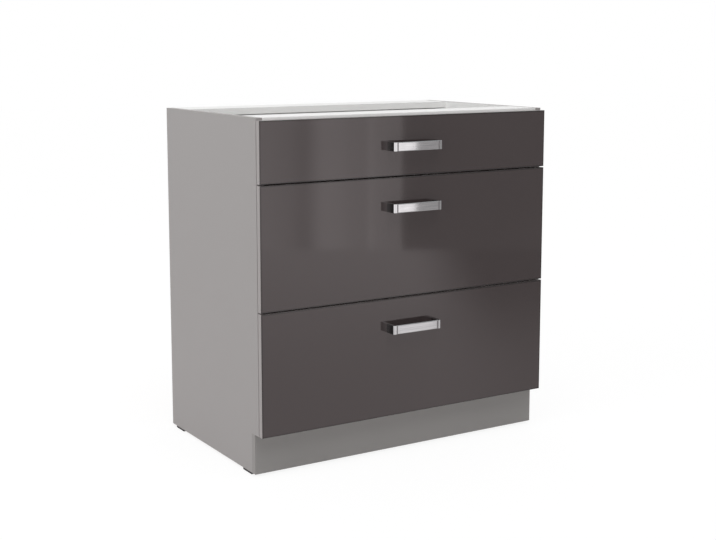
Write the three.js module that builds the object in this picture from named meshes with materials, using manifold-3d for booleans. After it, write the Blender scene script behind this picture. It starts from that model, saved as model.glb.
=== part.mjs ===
// Kitchen base cabinet with three drawers, in millimetres, +Z up.
//
// X runs across the front, Y from the front to the wall and Z up from the floor. While the
// pieces are made, Y = 0 is the face of the drawer fronts. The whole model is then moved along
// Y, so that its origin is the middle of the floor under it, handles included.
//
// The carcass is chipboard: two sides, a bottom, two top rails and a hardboard back, on plastic
// glides, with a plinth board across the toe notch. Each drawer has a front, steel sides, a
// bottom and a back, and hangs in two roller runners: its steel flange rolls over a nylon
// roller at the front of the cabinet rail, and a second roller at its own back end runs inside
// that rail, between the lower flange that carries it and the upper one that holds it down.

import * as THREE from 'three';
import { mergeVertices } from 'three/addons/utils/BufferGeometryUtils.js';
import Module from 'manifold-3d';

const wasm = await Module();
wasm.setup();

// ---- Carcass ---------------------------------------------------------------------------

const cabinetWidth = 800;
const cabinetHeight = 820;
const sideDepth = 485;
const boardThickness = 16;
const topRailDepth = 100;
const backThickness = 3;
const backMargin = 2; // the back board ends this far inside the cabinet's outline
const glideHeight = 6;
const glideLength = 40;
const glideWidth = 15;
const frontGlideInset = 7; // from the notched front edge of a side to its glide
const rearGlideInset = 23;
const plinthHeight = 94;
const plinthThickness = 16;
const toeDepth = 36; // how far the toe notch cuts into a side

// ---- Drawer fronts ---------------------------------------------------------------------

const frontThickness = 16;
const frontStandOff = 1; // the soft buffers keep the fronts this far off the carcass
const frontSideMargin = 0.1;
const frontGap = 3;
const frontTopReveal = 5.5; // the carcass rises this far above the top front
const frontFootReveal = 0.5; // the lowest front ends this far above the plinth's top
const topFrontHeight = 140;
const frontEdgeRound = 1.2;

// ---- Drawer boxes ----------------------------------------------------------------------

const topSideDrop = 34; // from a front's upper edge down to the top of the steel side
const deepSideDrop = 114;
const sheet = 1.2; // steel sides, flanges and rails
const bendInside = 0.4; // radius inside a bend of the sheet
const drawerBottomThickness = 16;
const drawerBackThickness = 16;
const drawerBackInset = 10; // from the end of the steel sides to the back
const drawerBackDrop = 12; // the back ends this far below the top of the sides
const boardPlay = 0.1; // between the drawer's boards and the bend of a steel side
const bottomFlange = 12; // the flange that the bottom board lies on
const backTabWidth = 12; // the tab behind the back board, which is screwed to it
const topRollWidth = 10;
const topRollDrop = 9;
const bracketSheet = 1.4;
const bracketReach = 40; // along the steel side
const bracketWidth = 10.4; // across the back of the front
const bracketClearance = 5; // above the runner flange and below the top roll

// ---- Roller runners --------------------------------------------------------------------

const runnerSetback = 3; // from the carcass's front edge to the rail
const runnerRearGap = 32; // from the rail to the back board
const extensionLoss = 105; // how much of the runner stays in the cabinet at full travel
const runnerFloorGap = 3.3; // under the lowest rail, above the carcass bottom
const rollerRadius = 12;
const rollerWidth = 7.5;
const rollerBore = 3.3;
const rollerHub = 5.5;
const rollerRim = 9.4;
const rollerDish = 1.2;
const rollerChamfer = 0.8;
const pinRadius = 3;
const pinHeadRadius = 5;
const pinHeadThickness = 1;
const rollerEndGap = 0.6; // between a roller and the plate or the pin head beside it
const runningGap = 0.3; // between a roller and what it rolls on
const frontRollerLift = 1.3; // the front roller stays this far above the lower flange
const captureGap = 1.2; // between the drawer flange and the rail's upper flange
const drawerWallOffset = 14; // from the carcass side to the steel side's outer face
const railLipGap = 1.2; // between the rail's lower flange and the steel side
const upperFlangeWidth = 9.4;
const runnerFlangeGap = 3.4; // between the drawer flange's edge and the carcass side
const rollerEndInset = 15; // from a rail or steel side's end to its roller's axis
const stopHeight = 6;
const stopGap = 0.5; // between the stop and the rear roller at full travel
const slotWidth = 5;
const slotLength = 9;
const slotPitch = 96;

// ---- Handles ---------------------------------------------------------------------------

const handleLength = 136;
const handleHeight = 21;
const handleProjection = 30;
const handleDrop = 69.5; // from a front's upper edge to the middle of its handle
const handleBar = 5;
const handleLeg = 8;
const handleCornerRadius = 5;
const handleInnerRadius = 4;
const handleEdgeRound = 0.8;
const handleEndStripe = 8; // the polished end of the bar, beside the recess
const insertRecess = 1.2;
const insertGroove = 4; // the recess shows this much at each end of the insert
const insertThickness = 1.6;
const insertEdgeBand = 1.2; // the insert ends this far below the bar's upper edge
const insertEdgeRound = 0.4;

// ---- Places that several pieces share --------------------------------------------------

const halfWidth = cabinetWidth / 2;
const innerHalf = halfWidth - boardThickness;
const carcassFront = frontThickness + frontStandOff;
const carcassBack = carcassFront + sideDepth;
const notchFront = carcassFront + toeDepth;
const floorPanelZ = glideHeight + plinthHeight;
const drawerWallInner = drawerWallOffset + sheet;
const railFront = carcassFront + runnerSetback;
const railBack = carcassBack - runnerRearGap;
const runnerLength = railBack - railFront;
const travel = runnerLength - extensionLoss;
const drawerEnd = frontThickness + runnerLength;
const drawerBackEnd = drawerEnd - drawerBackInset;
const rearRollerY = drawerEnd - rollerEndInset;
const frontRollerY = railFront + rollerEndInset;

// Heights over the top of the rail's lower flange
const rearRollerZ = runningGap + rollerRadius;
const frontRollerZ = frontRollerLift + rollerRadius;
const flangeUnderside = frontRollerZ + rollerRadius + runningGap;
const flangeTop = flangeUnderside + sheet;
const railOpening = flangeTop + captureGap;
const boardBase = sheet; // the bottom board lies on the steel side's bottom flange
const boardTop = boardBase + drawerBottomThickness;

const fullFrontHeight = cabinetHeight - frontTopReveal - floorPanelZ - frontFootReveal;
const deepFrontHeight = (fullFrontHeight - topFrontHeight - 2 * frontGap) / 2;
const runnerRise = boardThickness - frontFootReveal + runnerFloorGap + sheet;

// One entry for each drawer, from the top down
function planDrawers() {
  const drawers = [
    { name: 'top', frontHeight: topFrontHeight, sideDrop: topSideDrop },
    { name: 'middle', frontHeight: deepFrontHeight, sideDrop: deepSideDrop },
    { name: 'bottom', frontHeight: deepFrontHeight, sideDrop: deepSideDrop },
  ];
  let upperEdge = cabinetHeight - frontTopReveal;
  for (const drawer of drawers) {
    drawer.frontTop = upperEdge;
    drawer.frontFoot = upperEdge - drawer.frontHeight;
    drawer.trackZ = drawer.frontFoot + runnerRise;
    drawer.sideHeight = drawer.frontHeight - runnerRise - drawer.sideDrop;
    upperEdge = drawer.frontFoot - frontGap;
  }
  return drawers;
}

// ---- Finishes --------------------------------------------------------------------------

const finishes = {
  greyBoard: { color: 0x9f9e9c, roughness: 0.6, metalness: 0 },
  whiteBoard: { color: 0xe6e6e4, roughness: 0.55, metalness: 0 },
  plinthBoard: { color: 0x8c8a88, roughness: 0.6, metalness: 0 },
  hardboard: { color: 0xb08a62, roughness: 0.85, metalness: 0 },
  glossFront: { color: 0x4a4443, roughness: 0.08, metalness: 0 },
  coatedSteel: { color: 0xdedede, roughness: 0.4, metalness: 0.2 },
  zincSteel: { color: 0xb9bcc0, roughness: 0.35, metalness: 1 },
  nylon: { color: 0xf0eee8, roughness: 0.5, metalness: 0 },
  blackPlastic: { color: 0x1d1d1d, roughness: 0.55, metalness: 0 },
  polishedMetal: { color: 0xd9d9da, roughness: 0.12, metalness: 1 },
  satinMetal: { color: 0xb7b6b5, roughness: 0.35, metalness: 1 },
};

function piece(name, geometry, finish) {
  const mesh = new THREE.Mesh(geometry, new THREE.MeshStandardMaterial(finishes[finish]));
  mesh.name = name;
  return mesh;
}

// ---- Shape helpers ---------------------------------------------------------------------

// A board between two opposite corners
function boardBetween(low, high) {
  const size = high.map((value, axis) => value - low[axis]);
  const board = new THREE.BoxGeometry(size[0], size[1], size[2]);
  return board.translate(low[0] + size[0] / 2, low[1] + size[1] / 2, low[2] + size[2] / 2);
}

// An outline drawn in (X, Z), pushed along Y
function extrudeAlongY(outline, fromY, toY, options = {}) {
  const geometry = new THREE.ExtrudeGeometry(outline, {
    depth: toY - fromY,
    bevelEnabled: false,
    ...options,
  });
  return geometry.rotateX(Math.PI / 2).translate(0, toY, 0);
}

// An outline drawn in (Y, Z), pushed along X
function extrudeAlongX(outline, fromX, toX) {
  const geometry = new THREE.ExtrudeGeometry(outline, { depth: toX - fromX, bevelEnabled: false });
  const turn = new THREE.Matrix4().makeBasis(
    new THREE.Vector3(0, 1, 0),
    new THREE.Vector3(0, 0, 1),
    new THREE.Vector3(1, 0, 0),
  );
  return geometry.applyMatrix4(turn).translate(fromX, 0, 0);
}

function outlineOf(points) {
  return new THREE.Shape(points.map(([x, y]) => new THREE.Vector2(x, y)));
}

function rectangle(lowX, lowY, highX, highY) {
  return outlineOf([[lowX, lowY], [highX, lowY], [highX, highY], [lowX, highY]]);
}

// Rounds each bend of a line with an arc of the given radius
function roundBends(points, radius, steps = 3) {
  const rounded = [points[0]];
  for (let i = 1; i < points.length - 1; i += 1) {
    const into = points[i].clone().sub(points[i - 1]).normalize();
    const out = points[i + 1].clone().sub(points[i]).normalize();
    const start = points[i].clone().addScaledVector(into, -radius);
    const centre = start.clone().addScaledVector(out, radius);
    for (let step = 0; step <= steps; step += 1) {
      const angle = (step / steps) * (Math.PI / 2);
      rounded.push(
        centre.clone()
          .addScaledVector(out, -radius * Math.cos(angle))
          .addScaledVector(into, radius * Math.sin(angle)),
      );
    }
  }
  rounded.push(points[points.length - 1]);
  return rounded;
}

// The section of a folded sheet: its middle line has square bends at the given corners
function foldedSheet(corners, thickness) {
  const middleRadius = bendInside + thickness / 2;
  const line = roundBends(corners.map(([x, y]) => new THREE.Vector2(x, y)), middleRadius);
  const oneFace = [];
  const otherFace = [];
  const last = line.length - 1;
  for (let i = 0; i <= last; i += 1) {
    const from = Math.max(i - 1, 0);
    const to = Math.min(i, last - 1);
    const into = line[from + 1].clone().sub(line[from]).normalize();
    const out = line[to + 1].clone().sub(line[to]).normalize();
    const along = into.clone().add(out).normalize();
    const across = new THREE.Vector2(-along.y, along.x);
    across.multiplyScalar(thickness / 2 / along.dot(into));
    oneFace.push(line[i].clone().add(across));
    otherFace.push(line[i].clone().sub(across));
  }
  return new THREE.Shape([...oneFace, ...otherFace.reverse()]);
}

// A round bar along X
function barAlongX(radius, fromX, toX, y, z, sides = 20) {
  const bar = new THREE.CylinderGeometry(radius, radius, Math.abs(toX - fromX), sides);
  return bar.rotateZ(Math.PI / 2).translate((fromX + toX) / 2, y, z);
}

function toSolid(geometry) {
  const bare = geometry.clone();
  bare.deleteAttribute('normal');
  bare.deleteAttribute('uv');
  const merged = mergeVertices(bare, 1e-4);
  return new wasm.Manifold(new wasm.Mesh({
    numProp: 3,
    vertProperties: new Float32Array(merged.attributes.position.array),
    triVerts: new Uint32Array(merged.index.array),
  }));
}

function toGeometry(solid) {
  const mesh = solid.getMesh();
  const geometry = new THREE.BufferGeometry();
  geometry.setAttribute('position', new THREE.BufferAttribute(mesh.vertProperties, mesh.numProp));
  geometry.setIndex(new THREE.BufferAttribute(mesh.triVerts, 1));
  const flat = geometry.toNonIndexed();
  flat.computeVertexNormals();
  return flat;
}

function joinAndCut(joined, cuts = []) {
  let solid = toSolid(joined[0]);
  for (const geometry of joined.slice(1)) {
    solid = solid.add(toSolid(geometry));
  }
  for (const geometry of cuts) {
    solid = solid.subtract(toSolid(geometry));
  }
  return toGeometry(solid);
}

// X at a distance from the inner face of the carcass side: hand is -1 left, +1 right
function inwardX(hand, distance) {
  return hand * (innerHalf - distance);
}

const hands = [
  { side: 'left', hand: -1 },
  { side: 'right', hand: 1 },
];

// ---- Carcass pieces --------------------------------------------------------------------

// A side panel with the toe notch cut out of its lower front corner
function sidePanel(hand) {
  const outline = outlineOf([
    [notchFront, glideHeight],
    [carcassBack, glideHeight],
    [carcassBack, cabinetHeight],
    [carcassFront, cabinetHeight],
    [carcassFront, floorPanelZ],
    [notchFront, floorPanelZ],
  ]);
  const outerX = hand * halfWidth;
  const innerX = hand * innerHalf;
  return extrudeAlongX(outline, Math.min(outerX, innerX), Math.max(outerX, innerX));
}

// A glide: a plastic block with its lower edges chamfered, nailed under a side's bottom edge
function glide(hand, frontY) {
  const chamfer = glideHeight / 4;
  const middleX = hand * (halfWidth - boardThickness / 2);
  const half = glideWidth / 2;
  const outline = outlineOf([
    [middleX - half + chamfer, 0],
    [middleX + half - chamfer, 0],
    [middleX + half, chamfer],
    [middleX + half, glideHeight],
    [middleX - half, glideHeight],
    [middleX - half, chamfer],
  ]);
  return extrudeAlongY(outline, frontY, frontY + glideLength);
}

function carcass() {
  const group = new THREE.Group();
  for (const { side, hand } of hands) {
    group.add(piece(`side_${side}`, sidePanel(hand), 'greyBoard'));
    const frontGlideY = notchFront + frontGlideInset;
    const rearGlideY = carcassBack - rearGlideInset - glideLength;
    group.add(piece(`glide_front_${side}`, glide(hand, frontGlideY), 'blackPlastic'));
    group.add(piece(`glide_rear_${side}`, glide(hand, rearGlideY), 'blackPlastic'));
  }
  const bottomPanel = boardBetween(
    [-innerHalf, carcassFront, floorPanelZ],
    [innerHalf, carcassBack, floorPanelZ + boardThickness],
  );
  const plinth = boardBetween(
    [-halfWidth, notchFront - plinthThickness, glideHeight],
    [halfWidth, notchFront, floorPanelZ],
  );
  const backPanel = boardBetween(
    [backMargin - halfWidth, carcassBack, floorPanelZ],
    [halfWidth - backMargin, carcassBack + backThickness, cabinetHeight - backMargin],
  );
  const railUnderside = cabinetHeight - boardThickness;
  const frontRail = boardBetween(
    [-innerHalf, carcassFront, railUnderside],
    [innerHalf, carcassFront + topRailDepth, cabinetHeight],
  );
  const rearRail = boardBetween(
    [-innerHalf, carcassBack - topRailDepth, railUnderside],
    [innerHalf, carcassBack, cabinetHeight],
  );
  group.add(piece('bottom_panel', bottomPanel, 'whiteBoard'));
  group.add(piece('plinth_board', plinth, 'plinthBoard'));
  group.add(piece('back_panel', backPanel, 'hardboard'));
  group.add(piece('top_rail_front', frontRail, 'whiteBoard'));
  group.add(piece('top_rail_rear', rearRail, 'whiteBoard'));
  return group;
}

// ---- Runner pieces ---------------------------------------------------------------------

// A nylon roller: a bored disc with a chamfered tread, dished on the side of its pin's head.
// direction is 1 for a pin that points into the cabinet and -1 for one that points outwards.
function roller(hand, direction, nearDistance, y, z) {
  const half = rollerWidth / 2;
  const profile = [
    [rollerBore, -half],
    [rollerRadius - rollerChamfer, -half],
    [rollerRadius, -half + rollerChamfer],
    [rollerRadius, half - rollerChamfer],
    [rollerRadius - rollerChamfer, half],
    [rollerRim, half],
    [rollerRim, half - rollerDish],
    [rollerHub, half - rollerDish],
    [rollerHub, half],
    [rollerBore, half],
    [rollerBore, -half],
  ].map(([radius, along]) => new THREE.Vector2(radius, along));
  const disc = new THREE.LatheGeometry(profile, 20);
  const middleX = inwardX(hand, nearDistance + half);
  return disc.rotateZ((Math.PI / 2) * hand * direction).translate(middleX, y, z);
}

// A rivet pin from a plate, through a roller, to the head that keeps the roller on
function rivetPin(hand, plateDistance, direction, y, z) {
  const rollerRoom = rollerWidth + 2 * rollerEndGap;
  const headStart = plateDistance + direction * rollerRoom;
  const headEnd = headStart + direction * pinHeadThickness;
  const rootX = inwardX(hand, plateDistance - direction * sheet / 2);
  const headInner = inwardX(hand, headStart);
  const headOuter = inwardX(hand, headEnd);
  const overlap = inwardX(hand, headEnd - direction * pinHeadThickness / 2);
  return [
    barAlongX(pinRadius, rootX, overlap, y, z),
    barAlongX(pinHeadRadius, headInner, headOuter, y, z),
  ];
}

// The rail screwed to the carcass side: a C section with the front roller's pin, slots for its
// screws and the stop that the rear roller meets at full travel
function cabinetRail(hand, drawer) {
  const middle = sheet / 2;
  const lowerWidth = drawerWallOffset - railLipGap;
  const section = foldedSheet([
    [inwardX(hand, lowerWidth), drawer.trackZ - middle],
    [inwardX(hand, middle), drawer.trackZ - middle],
    [inwardX(hand, middle), drawer.trackZ + railOpening + middle],
    [inwardX(hand, upperFlangeWidth), drawer.trackZ + railOpening + middle],
  ], sheet);
  const channel = extrudeAlongY(section, railFront, railBack);
  const pin = rivetPin(hand, sheet, 1, frontRollerY, drawer.trackZ + frontRollerZ);

  const rollerAtStop = rearRollerY - travel;
  const overStop = rearRollerZ - stopHeight;
  const reach = Math.sqrt(rollerRadius ** 2 - overStop ** 2);
  const stopBack = rollerAtStop - reach - stopGap;
  const stopStart = inwardX(hand, rollerWidth);
  const stopEnd = inwardX(hand, lowerWidth);
  const stop = boardBetween(
    [Math.min(stopStart, stopEnd), stopBack - sheet, drawer.trackZ - middle],
    [Math.max(stopStart, stopEnd), stopBack, drawer.trackZ + stopHeight],
  );

  const slots = [];
  const slotZ = drawer.trackZ + railOpening / 2;
  const firstSlotY = frontRollerY + slotPitch / 2;
  for (let y = firstSlotY; y + slotLength < railBack; y += slotPitch) {
    slots.push(screwSlot(hand, y, slotZ));
  }
  return joinAndCut([channel, ...pin, stop], slots);
}

// A slot with round ends through the rail's upright web
function screwSlot(hand, y, z) {
  const half = slotWidth / 2;
  const straight = (slotLength - slotWidth) / 2;
  const outline = new THREE.Shape();
  outline.absarc(y + straight, z, half, -Math.PI / 2, Math.PI / 2);
  outline.absarc(y - straight, z, half, Math.PI / 2, Math.PI * 1.5);
  const ends = [inwardX(hand, -sheet), inwardX(hand, 2 * sheet)];
  const bare = new THREE.Shape(outline.getPoints(5));
  return extrudeAlongX(bare, Math.min(...ends), Math.max(...ends));
}

// The steel side of a drawer: a wall with a bottom flange under the board and a rolled top,
// the runner flange that rides over the front roller, the tab behind the back board, and the
// rear roller's pin
function steelSide(hand, drawer) {
  const middle = sheet / 2;
  const wall = drawerWallOffset + middle;
  const topZ = drawer.trackZ + drawer.sideHeight;
  const section = foldedSheet([
    [inwardX(hand, drawerWallInner + bottomFlange), drawer.trackZ + middle],
    [inwardX(hand, wall), drawer.trackZ + middle],
    [inwardX(hand, wall), topZ - middle],
    [inwardX(hand, drawerWallInner - topRollWidth + middle), topZ - middle],
    [inwardX(hand, drawerWallInner - topRollWidth + middle), topZ - topRollDrop],
  ], sheet);
  const shell = extrudeAlongY(section, frontThickness, drawerEnd);
  const flangeEnds = [inwardX(hand, wall), inwardX(hand, runnerFlangeGap)];
  const flange = boardBetween(
    [Math.min(...flangeEnds), frontThickness, drawer.trackZ + flangeUnderside],
    [Math.max(...flangeEnds), drawerEnd, drawer.trackZ + flangeTop],
  );
  const tabEnds = [inwardX(hand, wall), inwardX(hand, drawerWallInner + backTabWidth)];
  const tab = boardBetween(
    [Math.min(...tabEnds), drawerBackEnd, drawer.trackZ + boardTop],
    [Math.max(...tabEnds), drawerBackEnd + sheet, topZ - drawerBackDrop],
  );
  const pin = rivetPin(hand, drawerWallOffset, -1, rearRollerY, drawer.trackZ + rearRollerZ);
  return joinAndCut([shell, flange, tab, ...pin]);
}

// The angle that fixes a steel side to its front
function frontBracket(hand, drawer) {
  const footZ = drawer.trackZ + flangeTop + bracketClearance;
  const topZ = drawer.trackZ + drawer.sideHeight - topRollDrop - bracketClearance;
  const outer = inwardX(hand, drawerWallOffset - bracketWidth);
  const inner = inwardX(hand, drawerWallOffset);
  const face = inwardX(hand, drawerWallOffset - bracketSheet);
  const reachY = frontThickness + bracketReach;
  const bendY = frontThickness + bracketSheet;
  const outline = outlineOf([
    [outer, frontThickness],
    [inner, frontThickness],
    [inner, reachY],
    [face, reachY],
    [face, bendY],
    [outer, bendY],
  ]);
  const bracket = new THREE.ExtrudeGeometry(outline, { depth: topZ - footZ, bevelEnabled: false });
  return bracket.translate(0, 0, footZ);
}

// ---- Handle pieces ---------------------------------------------------------------------

// Seen from above: two legs and a bar, with a shallow recess along the bar's face
function handleBow(middleZ) {
  const end = handleLength / 2;
  const face = -handleProjection;
  const recessEnd = end - handleEndStripe;
  const inside = end - handleLeg;
  const barBack = face + handleBar;
  const outline = new THREE.Shape();
  outline.moveTo(-end, 0);
  outline.lineTo(-end, face + handleCornerRadius);
  outline.absarc(-end + handleCornerRadius, face + handleCornerRadius, handleCornerRadius,
    Math.PI, Math.PI * 1.5);
  outline.lineTo(-recessEnd, face);
  outline.lineTo(-recessEnd, face + insertRecess);
  outline.lineTo(recessEnd, face + insertRecess);
  outline.lineTo(recessEnd, face);
  outline.absarc(end - handleCornerRadius, face + handleCornerRadius, handleCornerRadius,
    -Math.PI / 2, 0);
  outline.lineTo(end, 0);
  outline.lineTo(inside, 0);
  outline.lineTo(inside, barBack + handleInnerRadius);
  outline.absarc(inside - handleInnerRadius, barBack + handleInnerRadius, handleInnerRadius,
    0, -Math.PI / 2, true);
  outline.lineTo(-inside + handleInnerRadius, barBack);
  outline.absarc(-inside + handleInnerRadius, barBack + handleInnerRadius, handleInnerRadius,
    -Math.PI / 2, -Math.PI, true);
  outline.lineTo(-inside, 0);
  const points = outline.getPoints(5);
  const bow = new THREE.ExtrudeGeometry(new THREE.Shape(points), {
    depth: handleHeight - 2 * handleEdgeRound,
    bevelThickness: handleEdgeRound,
    bevelSize: handleEdgeRound,
    bevelOffset: -handleEdgeRound,
    bevelSegments: 1,
  });
  return bow.translate(0, 0, middleZ - handleHeight / 2 + handleEdgeRound);
}

// The satin plate that lies in the recess
function handleInsert(middleZ) {
  const half = handleLength / 2 - handleEndStripe - insertGroove;
  const halfTall = handleHeight / 2 - insertEdgeBand;
  const outline = rectangle(-half, middleZ - halfTall, half, middleZ + halfTall);
  const floorY = -handleProjection + insertRecess;
  const faceY = floorY - insertThickness;
  return extrudeAlongY(outline, faceY + insertEdgeRound, floorY - insertEdgeRound, {
    bevelEnabled: true,
    bevelThickness: insertEdgeRound,
    bevelSize: insertEdgeRound,
    bevelOffset: -insertEdgeRound,
    bevelSegments: 1,
  });
}

// ---- Drawers ---------------------------------------------------------------------------

function drawerFront(drawer) {
  const half = halfWidth - frontSideMargin;
  const outline = rectangle(-half, drawer.frontFoot, half, drawer.frontTop);
  return extrudeAlongY(outline, frontEdgeRound, frontThickness - frontEdgeRound, {
    bevelEnabled: true,
    bevelThickness: frontEdgeRound,
    bevelSize: frontEdgeRound,
    bevelOffset: -frontEdgeRound,
    bevelSegments: 2,
  });
}

function drawerGroup(drawer) {
  const group = new THREE.Group();
  const name = drawer.name;
  const half = innerHalf - drawerWallInner - bendInside - boardPlay;
  const bottomBoard = boardBetween(
    [-half, frontThickness, drawer.trackZ + boardBase],
    [half, drawerBackEnd, drawer.trackZ + boardTop],
  );
  const backBoard = boardBetween(
    [-half, drawerBackEnd - drawerBackThickness, drawer.trackZ + boardTop],
    [half, drawerBackEnd, drawer.trackZ + drawer.sideHeight - drawerBackDrop],
  );
  const handleZ = drawer.frontTop - handleDrop;
  group.add(piece(`${name}_front`, drawerFront(drawer), 'glossFront'));
  group.add(piece(`${name}_drawer_bottom`, bottomBoard, 'whiteBoard'));
  group.add(piece(`${name}_drawer_back`, backBoard, 'whiteBoard'));
  group.add(piece(`${name}_handle`, handleBow(handleZ), 'polishedMetal'));
  group.add(piece(`${name}_handle_insert`, handleInsert(handleZ), 'satinMetal'));

  const frontRollerStart = sheet + rollerEndGap;
  const rearRollerStart = drawerWallOffset - rollerEndGap - rollerWidth;
  for (const { side, hand } of hands) {
    const frontZ = drawer.trackZ + frontRollerZ;
    const rearZ = drawer.trackZ + rearRollerZ;
    const frontRoller = roller(hand, 1, frontRollerStart, frontRollerY, frontZ);
    const rearRoller = roller(hand, -1, rearRollerStart, rearRollerY, rearZ);
    group.add(piece(`${name}_steel_side_${side}`, steelSide(hand, drawer), 'coatedSteel'));
    group.add(piece(`${name}_bracket_${side}`, frontBracket(hand, drawer), 'zincSteel'));
    group.add(piece(`${name}_rail_${side}`, cabinetRail(hand, drawer), 'coatedSteel'));
    group.add(piece(`${name}_roller_front_${side}`, frontRoller, 'nylon'));
    group.add(piece(`${name}_roller_rear_${side}`, rearRoller, 'nylon'));
  }
  return group;
}

// ---- The whole cabinet -----------------------------------------------------------------

const cabinet = new THREE.Group();
cabinet.add(carcass());
for (const drawer of planDrawers()) {
  cabinet.add(drawerGroup(drawer));
}

// Puts the origin under the middle of the depth from the handles' faces to the back board
const frontmost = -handleProjection - Math.max(0, insertThickness - insertRecess);
const rearmost = carcassBack + backThickness;
cabinet.position.y = -(frontmost + rearmost) / 2;

export default cabinet;
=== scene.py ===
# %% [markdown]
# # A kitchen base cabinet with three drawers
#
# The cabinet's solids come packed from a CAD program, already in their places. This script
# gives them their finishes, adds the small fittings that a workshop would add last, and sets
# up a camera and studio light. Everything is in metres: X runs across the front, Y from the
# front to the wall, Z up from the floor.

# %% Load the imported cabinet
import math

import bmesh
import bpy
from mathutils import Matrix, Vector


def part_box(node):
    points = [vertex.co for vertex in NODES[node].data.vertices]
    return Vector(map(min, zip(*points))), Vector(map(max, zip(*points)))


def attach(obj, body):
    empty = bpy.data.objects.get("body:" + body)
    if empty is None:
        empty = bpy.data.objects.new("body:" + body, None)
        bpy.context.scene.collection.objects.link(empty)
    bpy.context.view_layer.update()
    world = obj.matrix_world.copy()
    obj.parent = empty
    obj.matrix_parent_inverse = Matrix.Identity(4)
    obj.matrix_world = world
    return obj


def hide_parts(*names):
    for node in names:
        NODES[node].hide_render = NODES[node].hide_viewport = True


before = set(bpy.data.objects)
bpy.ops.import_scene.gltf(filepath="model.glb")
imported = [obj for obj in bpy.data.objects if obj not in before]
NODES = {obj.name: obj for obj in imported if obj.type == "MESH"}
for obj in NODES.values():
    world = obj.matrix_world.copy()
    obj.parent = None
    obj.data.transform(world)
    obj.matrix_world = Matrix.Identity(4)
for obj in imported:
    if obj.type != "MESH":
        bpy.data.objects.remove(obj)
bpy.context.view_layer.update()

MM = 0.001

# %% [markdown]
# ## Where things are
#
# Each fitting sits on a solid, so its place is worked out from that solid's box and not
# typed in. A few sizes that a box can't tell, such as how thick the steel is, are named
# here as on the workshop drawing.

# %% Places and sizes that several pieces share
DRAWERS = ("top", "middle", "bottom")
HANDS = (("left", -1), ("right", 1))  # each side's name and its sign on X
STEEL = 1.2 * MM                      # steel sides and rails
SIDE_LOW, SIDE_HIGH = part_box("side_right")
INNER_X = SIDE_LOW.x                  # inner face of a side panel
OUTER_X = SIDE_HIGH.x
CARCASS_FRONT = SIDE_LOW.y
CARCASS_BACK = SIDE_HIGH.y
FRONT_FACE_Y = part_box("top_front")[0].y
print(f"inner width {2 * INNER_X / MM:.0f} mm,",
      f"side depth {(CARCASS_BACK - CARCASS_FRONT) / MM:.0f} mm")

# %% [markdown]
# ## Shader maths as plain sums
#
# A finish is a small calculation: how far is this point from the edge, how much speckle is
# there, which colour does that give. Wiring that by hand hides the idea. The class below
# wraps a socket, so that `1 - mask * 0.5` adds the Math nodes by itself. Colours and vectors
# go through Mix and Vector Math nodes, because a Math node would turn a colour grey.

# %% Wrap a socket
class Wire:
    """One output socket of a material, with the sums that the finishes need."""

    def __init__(self, finish, socket):
        self.finish = finish
        self.socket = socket

    def sum(self, operation, *others):
        values = dict(enumerate((self, *others)))
        return self.finish.node("ShaderNodeMath", {"operation": operation}, values)

    def __add__(self, other):
        return self.sum("ADD", other)

    def __sub__(self, other):
        return self.sum("SUBTRACT", other)

    def __rsub__(self, other):
        values = {0: other, 1: self}
        return self.finish.node("ShaderNodeMath", {"operation": "SUBTRACT"}, values)

    def __mul__(self, other):
        return self.sum("MULTIPLY", other)

    def __lt__(self, other):
        return self.sum("LESS_THAN", other)

    def __gt__(self, other):
        return self.sum("GREATER_THAN", other)

    __radd__ = __add__
    __rmul__ = __mul__

    def size(self):
        return self.sum("ABSOLUTE")

    def sine(self):
        return self.sum("SINE")

    def least(self, other):
        return self.sum("MINIMUM", other)

    def most(self, other):
        return self.sum("MAXIMUM", other)

    def ramp(self, low, high, start=0.0, end=1.0):
        """Goes smoothly from start at low to end at high."""
        values = {"Value": self, "From Min": low, "From Max": high,
                  "To Min": start, "To Max": end}
        settings = {"interpolation_type": "SMOOTHSTEP"}
        return self.finish.node("ShaderNodeMapRange", settings, values)


# %% [markdown]
# A `Finish` is one material. Its `node` method adds any node from its type, its settings and
# the values or links of its sockets. The patterns read Object coordinates, which are metres
# in the cabinet's own frame, so a board's grain is as fine as it should be and stays on the
# board when a drawer runs out. A pattern's scale is one over the size of its blotches: 1000
# gives blotches of a millimetre, and 5 a cloud that is 200 mm across.

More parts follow.
